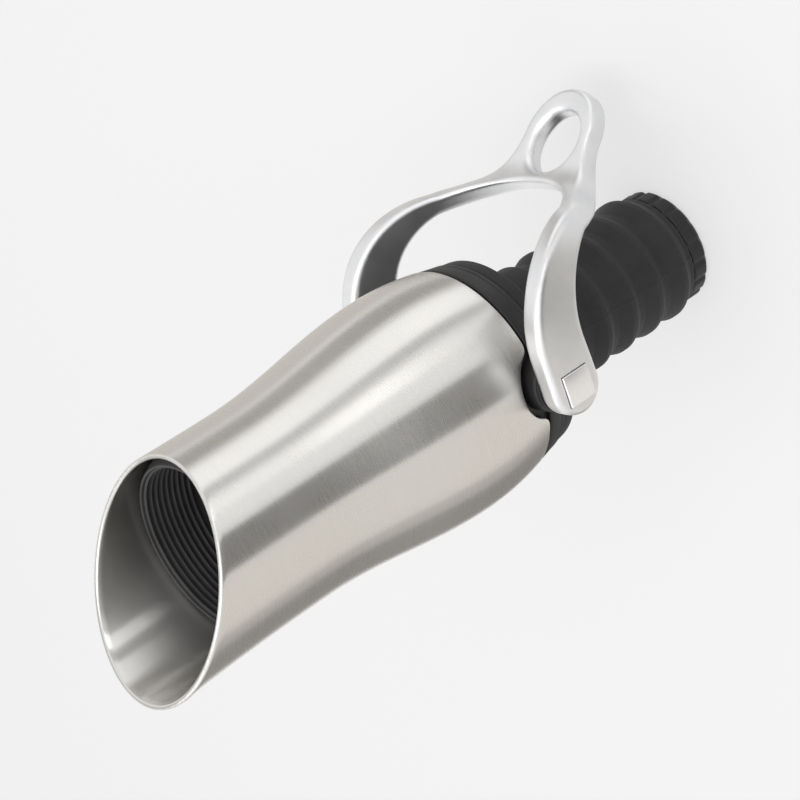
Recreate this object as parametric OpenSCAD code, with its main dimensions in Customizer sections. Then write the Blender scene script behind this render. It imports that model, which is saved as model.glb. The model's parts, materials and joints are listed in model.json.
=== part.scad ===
// Lever-valve pourer: a slanted steel spout on a black ball-valve body, worked by a wishbone lever.
// Millimetres. +Z runs along the pouring axis to the mouth, and z = 0 is the seat face under the collar.
// The lever lies on +X, the pouring lip on -X, and the valve's pivot runs along Y. The valve is open.

/* [Spout sleeve] */
// Height of the sleeve's rear rim above the seat face
rim_z = 6; // [5.5:0.1:7.5]
// Outer radius at the rear rim
rim_r = 15.45; // [15:0.05:16.2]
// Height of the widest place
bulge_z = 15.5; // [14:0.5:18]
// Outer radius at the widest place
bulge_r = 16.55; // [16.3:0.05:18]
// Height of the narrowest place
waist_z = 43; // [38:0.5:48]
// Outer radius at the narrowest place
waist_r = 14.1; // [13.5:0.05:15]
// Height of the slanted mouth on the axis
mouth_z = 62; // [58:0.5:75]
// Outer radius of the mouth on the axis
mouth_r = 14.5; // [14.2:0.05:15.5]
// Slant of the mouth from square
mouth_tilt = 27.7; // [10:0.1:32]
// Thickness of the drawn sheet
sheet_t = 0.75; // [0.5:0.05:1]

/* [Valve body] */
// Thickness of the gasket under the body's flange
gasket_t = 2.4; // [1.8:0.1:3]
// Radius of the gasket at its seat face
lip_r = 14.1; // [12.5:0.05:14.4]
// How much the collar widens from the seat face up to the rim
collar_flare = 1.3; // [0.6:0.05:1.35]
// Height of the body's front face
body_front = 21; // [19:0.5:24]
// Radius of the bosses that carry the spindles
boss_r = 4; // [3:0.1:4.2]
// Radius of the hub that goes into the plug
hub_r = 7.8; // [7.4:0.1:8.2]
// Length of the hub below the seat face
hub_len = 5; // [4.5:0.1:7]
// Depth of the groove round the body for the sleeve's ring
groove_depth = 1.2; // [0.9:0.05:1.6]
// Wall between the ball's cavity and the liner's socket
socket_t = 2; // [1.5:0.1:2.6]

/* [Ball valve] */
// Height of the pivot axis above the seat face
pivot_z = 5; // [4.6:0.1:5.4]
// Radius of the ball
ball_r = 6; // [5.7:0.1:6.2]
// Radius of the flow port
port_r = 4; // [3:0.1:4.1]
// Length of each seat along the axis
seat_len = 3; // [2:0.1:3.4]
// Room past the ball at each end of its cavity
cavity_end = 0.6; // [0.4:0.1:1]
// Room round the ball in its cavity
cavity_gap = 0.3; // [0.2:0.05:0.5]

/* [Spindles] */
// Radius of the spindle's journal
journal_r = 1.9; // [1.5:0.05:2]
// Side of the square that drives the spindle
drive_side = 4.4; // [3.6:0.1:4.6]
// How far the square stands out of the lever's eye
square_proud = 0.35; // [0.1:0.05:0.6]
// Side of the square tang in the ball
tang_side = 2.6; // [1.8:0.1:2.6]
// Depth that the tang reaches into the ball's pole
tang_depth = 1; // [0.6:0.1:1.2]
// Depth of the groove for the ring on the journal
spindle_groove = 0.6; // [0.4:0.05:0.8]

/* [Lever] */
// Thickness of each arm across the pivot
arm_t = 3.4; // [2.6:0.1:4]
// Radius of the round eye at each arm's end
eye_r = 4; // [3.6:0.1:4.6]
// Straight stretch of an arm before it bends back
arm_straight = 5; // [3:0.5:7]
// Radius of the bend that turns the arms back
bend_r = 12.6; // [11.5:0.1:14]
// Straight run between the two bends
run_len = 5.7; // [3:0.1:8]
// Radius of the bend that lifts the loop
kick_r = 8; // [6:0.5:12]
// Angle by which the loop lifts from the run
kick_angle = 39; // [20:1:50]
// Straight stretch of the loop
loop_straight = 11.2; // [9:0.1:14]
// Thickness of the loop's plate
plate_t = 3.2; // [2.6:0.1:3.8]
// Length of the finger loop
loop_l = 14; // [12.5:0.1:16]
// Width of the finger loop
loop_w = 13.4; // [12:0.1:17]
// Length of the finger hole
hole_l = 9.2; // [8:0.1:10]
// Width of the finger hole
hole_w = 8.8; // [7:0.1:10]
// Metal between the finger hole and the tip
loop_rim = 3.4; // [2.4:0.1:4]
// Metal between the finger hole and the arch
web_t = 2.1; // [1.8:0.1:3]
// Width that the neck of the loop draws in to
neck_w = 14; // [12.5:0.1:16.5]

/* [Pour liner] */
// Wall of the liner
liner_t = 1.1; // [0.9:0.05:1.6]
// Number of inner ribs
rib_n = 9; // [6:1:10]
// Spacing of the ribs
rib_pitch = 0.9; // [0.7:0.05:1.1]
// Height of a rib
rib_h = 0.35; // [0.2:0.05:0.5]
// Length of the taper on the liner's front
lead_len = 1.6; // [0.8:0.1:2.4]
// Wall left at the end of that taper
lead_t = 0.35; // [0.2:0.05:0.6]
// Radius of the spigot in the body
spigot_r = 10.5; // [9.5:0.1:11]
// Depth of the groove for the ring on the spigot
spigot_groove = 1.2; // [0.8:0.05:1.4]
// Thickness of the skirt that stands on the body
skirt_t = 1.5; // [1:0.1:2]
// Step from the body's barrel in to the skirt
skirt_in = 0.8; // [0.4:0.1:1.5]
// Outer radius of the funnel where it leaves the skirt
funnel_r = 7.3; // [7.1:0.1:9]

/* [Plug] */
// Radius of the plug's plain land
plug_r = 9.5; // [9.2:0.05:10.5]
// Length of the plain land
land_len = 7; // [4:0.5:9]
// Length of the plug
plug_len = 30; // [25:0.5:38]
// Number of fins below the land
fin_n = 4; // [2:1:6]
// Outer radius of the fins
fin_r = 9.3; // [9:0.05:10.3]
// Radius between the fins
root_r = 8.5; // [8.3:0.05:8.7]
// Outer radius of the stem
stem_r = 7; // [6.8:0.05:7.3]
// Depth of the groove for the ring on the stem
stem_groove = 0.6; // [0.4:0.05:0.8]
// Radius of the threaded end of the stem
thread_r = 5.8; // [5.3:0.05:6.2]
// Radius of the ring nut under the plug
nut_r = 8.4; // [7.8:0.1:8.8]
// Height of the ring nut
nut_h = 3; // [2:0.1:4]
// Flare at the stem's inlet
inlet_flare = 0.8; // [0.3:0.1:1]

/* [Washers and clearances] */
// Thickness of the washer beside each lever arm
washer_t = 0.5; // [0.3:0.05:0.8]
// Gap between the sleeve's widest place and the lever's arms
arm_clear = 1.45; // [1.3:0.05:2.5]
// Radial running clearance of the spindles
journal_gap = 0.03; // [0.01:0.01:0.08]
// Clearance between the ball and its seats
seat_gap = 0.12; // [0.05:0.01:0.2]
// Clearance of pieces that are pushed together
fit_gap = 0.1; // [0.05:0.01:0.15]
// Clearance of faces that bear on each other
face_gap = 0.05; // [0.02:0.01:0.1]
// Shadow gap between the flange and the sleeve's rim
shadow_gap = 0.25; // [0.15:0.05:0.4]
// Gap round each boss in the sleeve's notch
notch_gap = 1; // [0.4:0.1:1.2]

/* [Hidden] */
$fn = 64;
degrees = 180 / PI;
// Reach of a cut past what it cuts
over = 1;

// Sleeve
sleeve_steps = 24;
mouth_slope = tan(mouth_tilt);
sleeve_top = mouth_z + (mouth_r + over) * mouth_slope;

// Body, collar and the grooves of their rings
flange_top = rim_z - shadow_gap;
collar_slope = collar_flare / rim_z;
barrel_r = rim_r - sheet_t - shadow_gap;
groove_r = barrel_r - groove_depth;
cavity_r = ball_r + cavity_gap;
cavity_top = pivot_z + ball_r + cavity_end;
cavity_foot = pivot_z - ball_r - cavity_end;
socket_foot = cavity_top + socket_t;

// Lever, along its centre line from the pivot
arm_in = bulge_r + arm_clear;
arm_out = arm_in + arm_t;
boss_face = arm_in - washer_t - 2 * face_gap;
bend_end = arm_straight + bend_r * PI / 2;
run_end = bend_end + run_len;
kick_end = run_end + kick_r * kick_angle / degrees;
lever_end = kick_end + loop_straight;
lever_rise = arm_straight + bend_r;
run_z = pivot_z - bend_r - run_len;
kick_point = [lever_rise + kick_r * (1 - cos(kick_angle)), run_z - kick_r * sin(kick_angle)];
lever_tip = kick_point + loop_straight * [sin(kick_angle), -cos(kick_angle)];
lever_steps = 40;

// Lever, seen square to the line from its pivot to its tip
lever_lean = atan2(pivot_z - lever_tip[1], lever_tip[0]);
lever_l = norm([lever_tip[0], pivot_z - lever_tip[1]]);
loop_c = lever_l - loop_l / 2;
hole_c = lever_l - loop_rim - hole_l / 2;
arch_apex = hole_c - hole_l / 2 - web_t;
arch_power = 2.4;
arch_in = arm_in / pow(1 - pow(eye_r / arch_apex, arch_power), 1 / arch_power);
neck_start = arch_apex - loop_rim;
arch_steps = 20;
neck_steps = 8;
eye_steps = 16;
outline_steps = 72;

// Liner
liner_r = waist_r - sheet_t - shadow_gap;
liner_in = liner_r - liner_t;
liner_foot = socket_foot + face_gap;
liner_front = mouth_z - mouth_r * mouth_slope - shadow_gap;
rib_w = rib_pitch / 2;
// Section of a rib, as shares of its height and width, from its front foot to its rear foot
rib_section = [[0, 1], [1, 0.8], [1, 0.2], [0, 0]];
rib_foot = liner_front - rib_n * rib_pitch;
funnel_top = rib_foot - rib_pitch;
spigot_end = body_front + face_gap;
skirt_r = barrel_r - skirt_in;
spigot_ring_z = (liner_foot + body_front) / 2;

// Plug and stem
hub_foot = -hub_len;
stem_top = cavity_foot - face_gap;
stem_shoulder = hub_foot - face_gap;
plug_foot = -plug_len;
nut_top = plug_foot - face_gap;
stem_foot = nut_top - nut_h;
fin_pitch = (plug_len - land_len) / (fin_n + 0.5);
// Section of a fin, as radius and share of the pitch, from its upper root to its lower root
fin_section = [[root_r, 0], [fin_r, 0.4], [fin_r, 0.55], [root_r, 0.8]];
stem_ring_z = (stem_top + hub_foot) / 2;

// Spindles
spindle_ring_y = (cavity_r + boss_face) / 2;

// Outer radius of the sleeve at height z
function sleeve_r(z) =
    z < bulge_z ? bulge_r - (bulge_r - rim_r) * pow((bulge_z - z) / (bulge_z - rim_z), 2)
    : z < waist_z ? waist_r + (bulge_r - waist_r) * (1 + cos(180 * (z - bulge_z) / (waist_z - bulge_z))) / 2
    : waist_r + (mouth_r - waist_r) * pow((z - waist_z) / (mouth_z - waist_z), 2);

// Radius of the tapered collar at height z
function collar_r(z) = lip_r + collar_slope * z;

// Heading of the lever's centre line at distance s, from +X down towards -Z
function heading(s) =
    s < arm_straight ? 0
    : s < bend_end ? (s - arm_straight) / bend_r * degrees
    : s < run_end ? 90
    : s < kick_end ? 90 - (s - run_end) / kick_r * degrees
    : 90 - kick_angle;

// Point [x, z] of the lever's centre line at distance s
function lever_at(s) =
    let (turn = heading(s))
    s < arm_straight ? [s, pivot_z]
    : s < bend_end ? [arm_straight + bend_r * sin(turn), pivot_z - bend_r * (1 - cos(turn))]
    : s < run_end ? [lever_rise, pivot_z - bend_r - (s - bend_end)]
    : s < kick_end ? [lever_rise + kick_r * (1 - cos(90 - turn)), run_z - kick_r * sin(90 - turn)]
    : kick_point + (s - kick_end) * [sin(kick_angle), -cos(kick_angle)];

// Half the lever's depth, seen from the side, at distance s
function lever_half(s) =
    let (bent = min(max((s - arm_straight) / (bend_end - arm_straight), 0), 1))
    let (swell = cos(90 * bent))
    plate_t / 2 + (eye_r - plate_t / 2) * swell;

// Point on the lever's front (side = 1) or back (side = -1) edge at distance s
function lever_edge(s, side) =
    lever_at(s) + side * lever_half(s) * [sin(heading(s)), cos(heading(s))];

// Signed power, for superellipses
function signed_pow(v, p) = sign(v) * pow(abs(v), p);

// Points of a superellipse with half-lengths a and b
function superellipse(a, b, p) =
    [for (i = [0 : outline_steps - 1])
        let (t = 360 * i / outline_steps)
        [a * signed_pow(cos(t), 2 / p), b * signed_pow(sin(t), 2 / p)]];

// Half-width of the arch's outer edge at distance l from the pivot
function arch_half(l) = arm_out * pow(1 - pow(abs(l) / (arch_apex + web_t), arch_power), 1 / arch_power);

// Point of the concave curve from the arch to the loop
function neck_curve(t) =
    pow(1 - t, 2) * [neck_start, arch_half(neck_start)]
    + 2 * t * (1 - t) * [arch_apex + web_t, neck_w / 2]
    + t * t * [loop_c, loop_w / 2];

// A round bar along Y, at the height of the pivot
module cross_bar(r, from, to) {
    translate([0, to, pivot_z])
        rotate([90, 0, 0])
            cylinder(r = r, h = to - from);
}

// A ring of round section about +Z
module o_ring(ring_r, section_r) {
    rotate_extrude()
        translate([ring_r, 0])
            circle(r = section_r, $fn = 32);
}

module spout_sleeve() {
    rows = [for (i = [0 : sleeve_steps]) rim_z + i * (sleeve_top - rim_z) / sleeve_steps];
    outer = [for (z = rows) [sleeve_r(z), z]];
    inner = [for (i = [sleeve_steps : -1 : 0]) [sleeve_r(rows[i]) - sheet_t, rows[i]]];
    cut = 4 * mouth_r;
    color("silver")
        difference() {
            rotate_extrude()
                polygon(concat(outer, inner));
            translate([0, 0, mouth_z])
                rotate([0, mouth_tilt, 0])
                    translate([-cut / 2, -cut / 2, 0])
                        cube(cut);
            cross_bar(boss_r + notch_gap, -boss_face, boss_face);
        }
}

module valve_body() {
    ring_w = sleeve_r(bulge_z) - sheet_t - groove_r + fit_gap;
    profile = [
        [0, hub_foot], [hub_r, hub_foot], [hub_r, gasket_t],
        [collar_r(gasket_t), gasket_t], [collar_r(flange_top), flange_top], [barrel_r, flange_top],
        [barrel_r, bulge_z - ring_w / 2], [groove_r, bulge_z - ring_w / 2],
        [groove_r, bulge_z + ring_w / 2], [barrel_r, bulge_z + ring_w / 2],
        [barrel_r, body_front], [0, body_front]
    ];
    color("#1c1c1e")
        difference() {
            union() {
                rotate_extrude()
                    polygon(profile);
                difference() {
                    cross_bar(boss_r, -boss_face, boss_face);
                    translate([0, 0, gasket_t - boss_r])
                        cylinder(r = collar_r(gasket_t) + fit_gap, h = boss_r);
                }
            }
            translate([0, 0, hub_foot - over])
                cylinder(r = cavity_r, h = cavity_top - hub_foot + over);
            translate([0, 0, cavity_top - over])
                cylinder(r = port_r, h = socket_t + 2 * over);
            translate([0, 0, socket_foot])
                cylinder(r = spigot_r + fit_gap, h = body_front - socket_foot + over);
            cross_bar(journal_r + journal_gap, -boss_face - over, boss_face + over);
        }
}

module lip_gasket() {
    bore = hub_r + fit_gap;
    seat_in = plug_r + fit_gap;
    top = gasket_t - face_gap;
    color("#26262a")
        rotate_extrude()
            polygon([[bore, face_gap], [seat_in, face_gap], [seat_in, 0], [lip_r, 0],
                [collar_r(top) - fit_gap, top], [bore, top]]);
}

module pour_liner() {
    groove_z = spigot_ring_z;
    half = spigot_groove / 2 + fit_gap;
    spigot_groove_r = spigot_r - spigot_groove;
    ribs = [for (i = [rib_n - 1 : -1 : 0])
        let (z = rib_foot + i * rib_pitch)
        for (p = rib_section)
            [liner_in - p[0] * rib_h, z + p[1] * rib_w]];
    profile = concat(
        [
            [port_r, liner_foot], [spigot_r, liner_foot],
            [spigot_r, groove_z - half], [spigot_groove_r, groove_z - half],
            [spigot_groove_r, groove_z + half], [spigot_r, groove_z + half],
            [spigot_r, spigot_end], [skirt_r, spigot_end], [skirt_r, spigot_end + skirt_t],
            [funnel_r, spigot_end + skirt_t],
            [liner_r, funnel_top], [liner_r, liner_front - lead_len],
            [liner_in + lead_t, liner_front], [liner_in, liner_front]
        ],
        ribs,
        [[liner_in, funnel_top]]
    );
    color("#202022")
        rotate_extrude()
            polygon(profile);
}

module liner_o_ring() {
    section_r = spigot_groove / 2;
    color("#3a3a3c")
        translate([0, 0, spigot_ring_z])
            o_ring(spigot_r + fit_gap / 2 - section_r, section_r);
}

module sleeve_o_ring() {
    section_r = (sleeve_r(bulge_z) - sheet_t - groove_r - fit_gap) / 2;
    color("#3a3a3c")
        translate([0, 0, bulge_z])
            o_ring(groove_r + section_r, section_r);
}

module seat_ring(foot) {
    color("ivory")
        difference() {
            translate([0, 0, foot])
                cylinder(r = cavity_r - fit_gap, h = seat_len);
            translate([0, 0, foot - over])
                cylinder(r = port_r, h = seat_len + 2 * over);
            translate([0, 0, pivot_z])
                sphere(r = ball_r + seat_gap);
        }
}

module front_seat() {
    seat_ring(cavity_top - face_gap - seat_len);
}

module rear_seat() {
    seat_ring(cavity_foot);
}

module valve_ball() {
    slot = tang_side + 2 * fit_gap;
    color("gainsboro")
        difference() {
            translate([0, 0, pivot_z])
                sphere(r = ball_r);
            translate([0, 0, pivot_z - ball_r - over])
                cylinder(r = port_r, h = 2 * (ball_r + over));
            for (side = [-1, 1])
                translate([0, side * ball_r, pivot_z])
                    cube([2 * ball_r, 2 * (tang_depth + fit_gap), slot], center = true);
        }
}

module spindle() {
    tang_end = ball_r - tang_depth;
    ring_half = spindle_groove / 2 + fit_gap;
    color("gainsboro") {
        difference() {
            cross_bar(journal_r, ball_r + fit_gap, arm_in + fit_gap);
            difference() {
                cross_bar(journal_r + over, spindle_ring_y - ring_half, spindle_ring_y + ring_half);
                cross_bar(journal_r - spindle_groove, spindle_ring_y - over, spindle_ring_y + over);
            }
        }
        translate([-tang_side / 2, tang_end, pivot_z - tang_side / 2])
            cube([tang_side, tang_depth + 2 * fit_gap, tang_side]);
        translate([-drive_side / 2, arm_in, pivot_z - drive_side / 2])
            cube([drive_side, arm_t + square_proud, drive_side]);
    }
}

module left_spindle() {
    mirror([0, 1, 0])
        spindle();
}

module right_spindle() {
    spindle();
}

module spindle_o_ring() {
    section_r = (spindle_groove - journal_gap) / 2;
    color("#3a3a3c")
        translate([0, spindle_ring_y, pivot_z])
            rotate([90, 0, 0])
                o_ring(journal_r - section_r - journal_gap / 2, section_r);
}

module left_spindle_o_ring() {
    mirror([0, 1, 0])
        spindle_o_ring();
}

module right_spindle_o_ring() {
    spindle_o_ring();
}

module washer() {
    color("whitesmoke")
        difference() {
            cross_bar(boss_r - fit_gap, boss_face + face_gap, arm_in - face_gap);
            cross_bar(journal_r + fit_gap, boss_face, arm_in);
        }
}

module left_washer() {
    mirror([0, 1, 0])
        washer();
}

module right_washer() {
    washer();
}

// The lever seen from the side, with its round eye
module lever_side() {
    stations = [for (i = [0 : lever_steps]) lever_end * i / lever_steps];
    front = [for (s = stations) lever_edge(s, 1)];
    back = [for (i = [lever_steps : -1 : 0]) lever_edge(stations[i], -1)];
    eye = [for (i = [1 : eye_steps - 1])
        let (a = 180 * i / eye_steps)
        [-eye_r * sin(a), pivot_z - eye_r * cos(a)]];
    polygon(concat(front, back, eye));
}

// The wishbone, seen square to the line from pivot to tip
module lever_outline() {
    arm_foot = -2 * eye_r;
    arm = [for (i = [0 : arch_steps - 1])
        let (l = arm_foot + (neck_start - arm_foot) * i / arch_steps)
        [l, arch_half(l)]];
    neck = [for (i = [0 : neck_steps - 1]) neck_curve(i / neck_steps)];
    tip = [for (i = [0 : neck_steps])
        let (a = 90 - 90 * i / neck_steps)
        [loop_c + loop_l / 2 * cos(a), loop_w / 2 * sin(a)]];
    half = concat(arm, neck, tip);
    mirrored = [for (i = [len(half) - 2 : -1 : 0]) [half[i][0], -half[i][1]]];
    difference() {
        polygon(concat(half, mirrored));
        polygon(superellipse(arch_apex, arch_in, arch_power));
        translate([hole_c, 0])
            polygon(superellipse(hole_l / 2, hole_w / 2, 2));
    }
}

module lever() {
    eye_hole = drive_side + face_gap;
    color("lightgray")
        difference() {
            intersection() {
                rotate([90, 0, 0])
                    linear_extrude(height = 2 * (arm_out + over), center = true)
                        lever_side();
                translate([0, 0, pivot_z])
                    rotate([0, lever_lean, 0])
                        linear_extrude(height = 2 * lever_l, center = true)
                            lever_outline();
            }
            translate([0, 0, pivot_z])
                cube([eye_hole, 2 * (arm_out + over), eye_hole], center = true);
        }
}

module stem_tube() {
    half = stem_groove / 2 + fit_gap;
    top_r = cavity_r - fit_gap;
    groove_floor = top_r - stem_groove;
    profile = [
        [port_r, stem_top], [top_r, stem_top],
        [top_r, stem_ring_z + half], [groove_floor, stem_ring_z + half],
        [groove_floor, stem_ring_z - half], [top_r, stem_ring_z - half],
        [top_r, stem_shoulder], [stem_r, stem_shoulder],
        [stem_r, nut_top + face_gap], [thread_r, nut_top + face_gap],
        [thread_r, stem_foot], [port_r + inlet_flare, stem_foot],
        [port_r, stem_foot + 2 * inlet_flare]
    ];
    color("#1c1c1e")
        rotate_extrude()
            polygon(profile);
}

module stem_o_ring() {
    section_r = stem_groove / 2;
    color("#3a3a3c")
        translate([0, 0, stem_ring_z])
            o_ring(cavity_r - fit_gap / 2 - section_r, section_r);
}

module stopper_plug() {
    step = stem_shoulder - face_gap;
    fins = [for (i = [0 : fin_n - 1])
        let (z = -land_len - (i + 0.5) * fin_pitch)
        for (p = fin_section)
            [p[0], z - p[1] * fin_pitch]];
    hub_bore = hub_r + fit_gap;
    stem_bore = stem_r + fit_gap;
    profile = concat(
        [[hub_bore, 0], [plug_r, 0], [plug_r, -land_len], [root_r, -land_len - (plug_r - root_r)]],
        fins,
        [[root_r, plug_foot], [stem_bore, plug_foot], [stem_bore, step], [hub_bore, step]]
    );
    color("#2a2a2c")
        rotate_extrude()
            polygon(profile);
}

module plug_retainer() {
    bevel = nut_h / 4;
    slot_w = nut_h / 2;
    color("#1c1c1e")
        difference() {
            rotate_extrude()
                polygon([[thread_r + face_gap, nut_top], [nut_r, nut_top], [nut_r, stem_foot + bevel],
                    [nut_r - bevel, stem_foot], [thread_r + face_gap, stem_foot]]);
            translate([0, 0, stem_foot])
                cube([2 * (nut_r + over), slot_w, slot_w], center = true);
        }
}

spout_sleeve();
valve_body();
lip_gasket();
pour_liner();
liner_o_ring();
sleeve_o_ring();
front_seat();
rear_seat();
valve_ball();
left_spindle();
right_spindle();
left_spindle_o_ring();
right_spindle_o_ring();
left_washer();
right_washer();
lever();
stem_tube();
stem_o_ring();
stopper_plug();
plug_retainer();
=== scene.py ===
"""The looks of a lever-valve pourer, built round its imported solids.

The frame is the part's own: +Z runs along the pouring axis to the mouth, the lever lies on +X and the valve's
pivot runs along Y. Shapes are worked out in millimetres, as the solids are, and scaled to metres by MM.
"""

import json
import math

import bmesh
import bpy
import numpy as np
from mathutils import Matrix, Vector


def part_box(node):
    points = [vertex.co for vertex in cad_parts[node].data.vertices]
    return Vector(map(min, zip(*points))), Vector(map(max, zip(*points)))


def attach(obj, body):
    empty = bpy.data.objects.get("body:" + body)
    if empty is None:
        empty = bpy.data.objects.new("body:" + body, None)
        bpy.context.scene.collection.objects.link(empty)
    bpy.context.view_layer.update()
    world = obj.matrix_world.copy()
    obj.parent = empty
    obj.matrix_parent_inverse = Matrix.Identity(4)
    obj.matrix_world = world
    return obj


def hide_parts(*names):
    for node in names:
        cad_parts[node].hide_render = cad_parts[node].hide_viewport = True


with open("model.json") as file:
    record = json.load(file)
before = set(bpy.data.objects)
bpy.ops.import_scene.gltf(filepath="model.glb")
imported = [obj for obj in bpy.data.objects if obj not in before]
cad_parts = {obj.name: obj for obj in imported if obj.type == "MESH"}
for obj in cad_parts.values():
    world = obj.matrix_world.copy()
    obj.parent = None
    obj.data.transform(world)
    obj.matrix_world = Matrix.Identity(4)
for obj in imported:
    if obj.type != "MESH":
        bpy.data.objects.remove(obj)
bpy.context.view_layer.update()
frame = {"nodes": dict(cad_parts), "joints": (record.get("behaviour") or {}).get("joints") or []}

MM = 0.001
X, Y, Z = range(3)


def lowest(name, axis):
    """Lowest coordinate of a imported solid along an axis, in millimetres."""
    return round(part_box(name)[0][axis] / MM, 2)


def highest(name, axis):
    """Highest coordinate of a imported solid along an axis, in millimetres."""
    return round(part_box(name)[1][axis] / MM, 2)


# Edges that turn by more than this are sharp
SHARP = math.radians(38)

# Room between fitted pieces, and how far a cutting shape reaches past what it cuts
CLEAR, GAP, PAST = 0.1, 0.05, 1.0

# Columns round a turned piece
SMALL_TURN, BOSS_TURN, PLAIN_TURN, BODY_TURN = 64, 96, 160, 192

# Spout sleeve
RIM_Z, RIM_R = lowest("spout_sleeve", Z), 15.45
BULGE_Z, BULGE_R = 15.5, 16.55
WAIST_Z, WAIST_R = 43.0, 14.1
MOUTH_Z, MOUTH_R = 62.0, 14.5
MOUTH_SLOPE = math.tan(math.radians(27.7))
SHEET_T = 0.75

# Body and gasket
PIVOT_Z = round(frame["joints"][0]["pos_m"][Z] / MM, 2)
GASKET_T, LIP_R, COLLAR_SLOPE = 2.4, 14.1, 1.3 / 6
FLANGE_TOP, BARREL_R = 5.75, 14.45
HUB_R, HUB_FOOT, BODY_FRONT = 7.8, lowest("valve_body", Z), highest("valve_body", Z)
JOINT_Z, JOINT_HALF, JOINT_D, JOINT_STEP = 3.1, 0.1, 0.12, 0.03
BOSS_R, BOSS_ROOT, BOSS_FACE, NOTCH_R = 4.0, 12.0, highest("valve_body", Y), 5.0
CAVITY_R, CAVITY_TOP, CAVITY_FOOT, SOCKET_FOOT = 6.3, 11.6, -1.6, 13.6
PORT_R, SPIGOT_R = 4.0, 10.5

# Plug, with a fin's crest and back as shares of the fins' pitch
PLUG_R, PLUG_FOOT, LAND_LEN = highest("stopper_plug", X), lowest("stopper_plug", Z), 7.0
FIN_N, FIN_R, ROOT_R = 4, 9.3, 8.5
CREST_START, CREST_END, FIN_END = 0.4, 0.55, 0.8
SEAM_W, SEAM_H = 0.28, 0.07

# Stem and ring nut
STEM_R, STEM_FOOT, THREAD_R = highest("stem_tube", X), lowest("stem_tube", Z), 5.8
FLARE_R, FLARE_LEN = 0.8, 1.6
NUT_R, NUT_TOP, NUT_CHAMFER = highest("plug_retainer", X), highest("plug_retainer", Z), 0.75
GRIP_N, GRIP_D, GRIP_REACH, GRIP_COLUMNS = 18, 0.28, 1.0, 16
SLOT_HALF, SLOT_D = 0.75, 0.75

# Liner
LINER_R, LINER_IN = 13.1, 12.0
LINER_FOOT, LINER_FRONT = lowest("pour_liner", Z), highest("pour_liner", Z)
FUNNEL_R, SHOULDER_IN, SHOULDER_T = 7.3, 0.8, 1.5
RIB_N, RIB_PITCH, RIB_H, RIB_FLANK = 9, 0.9, 0.35, 0.2
LEAD_LEN, LEAD_T = 1.6, 0.35

# Grooves for the O-rings: depth, and half the width where a ring doesn't set it
SLEEVE_GROOVE = 1.2
LINER_GROOVE, LINER_GROOVE_HALF = 1.2, 0.7
SMALL_GROOVE, SMALL_GROOVE_HALF = 0.6, 0.4

# Lever
ARM_IN, ARM_OUT, EYE_R = 18.0, highest("lever", Y), -lowest("lever", X)
ARM_STRAIGHT, BEND_R, RUN_LEN = 5.0, 12.6, 5.7
KICK_R, KICK = 8.0, math.radians(39)
LOOP_STRAIGHT, PLATE_T = 11.2, 3.2
LOOP_L, LOOP_W, LOOP_RIM = 14.0, 13.4, 3.4
HOLE_L, HOLE_W = 9.2, 8.8
WEB_T, NECK_W, ARCH_POWER = 2.1, 14.0, 2.4
LEVER_ROUND, HOLE_ROUND = 0.9, 1.25
LONG_STEPS, ARC_STEPS = 320, 60

# Spindles and ball
DRIVE_SIDE, SPINDLE_END = 2 * highest("right_spindle", X), highest("right_spindle", Y)
JOURNAL_R, BORE_R, BALL_R = 1.9, 1.93, 6.0
TANG_HALF, TANG_END = 1.3, lowest("right_spindle", Y)


# Mesh helpers


def fillet(corners, steps=5):
    """A closed outline from (x, y, radius) corners, each turned into an arc.

    An arc takes less than half of either side, and a corner that hardly bends stays a point.
    """
    share, unbent = 0.49, 1.55
    out = []
    for i, (x, y, radius) in enumerate(corners):
        here = np.array((x, y))
        before = np.array(corners[i - 1][:2]) - here
        after = np.array(corners[(i + 1) % len(corners)][:2]) - here
        room = share * min(np.linalg.norm(before), np.linalg.norm(after))
        before = before / np.linalg.norm(before)
        after = after / np.linalg.norm(after)
        half = math.acos(float(np.clip(before @ after, -1, 1))) / 2
        if radius == 0 or half > unbent:
            out.append(here)
            continue
        back = min(radius / math.tan(half), room)
        radius = back * math.tan(half)
        middle = before + after
        centre = here + middle / np.linalg.norm(middle) * radius / math.sin(half)
        start, end = here + before * back - centre, here + after * back - centre
        first = math.atan2(start[1], start[0])
        sweep = (math.atan2(end[1], end[0]) - first + math.pi) % (2 * math.pi) - math.pi
        for k in range(steps + 1):
            a = first + sweep * k / steps
            out.append(centre + radius * np.array((math.cos(a), math.sin(a))))
    return out


def revolve(profile, segments=PLAIN_TURN, angles=None):
    """Vertices and faces of a closed (radius, height) outline turned about Z."""
    profile = np.array(profile)
    rows = len(profile)
    if angles is None:
        angles = np.arange(segments) * 2 * math.pi / segments
    segments = len(angles)
    verts = np.stack(
        [
            np.outer(np.cos(angles), profile[:, 0]),
            np.outer(np.sin(angles), profile[:, 0]),
            np.tile(profile[:, 1], (segments, 1)),
        ],
        axis=-1,
    ).reshape(-1, 3)
    return verts, grid_faces(segments, rows)


def turned(profile, segments):
    """A solid turned about Z, from an outline that starts and ends on the axis."""
    verts, faces = revolve(profile, segments)
    rows = len(profile)
    same = np.arange(len(verts))
    same[::rows], same[rows - 1 :: rows] = 0, rows - 1
    used, number = np.unique(same, return_inverse=True)
    distinct = [tuple(dict.fromkeys(int(number[i]) for i in face)) for face in faces]
    return verts[used], [face for face in distinct if len(face) > 2]


def grid_faces(columns, rows):
    """Quads of a grid of vertices that closes on itself both ways, column by column."""
    faces = []
    for i in range(columns):
        for j in range(rows):
            a, b = i * rows, (i + 1) % columns * rows
            k = (j + 1) % rows
            faces.append((a + j, b + j, b + k, a + k))
    return faces


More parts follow.
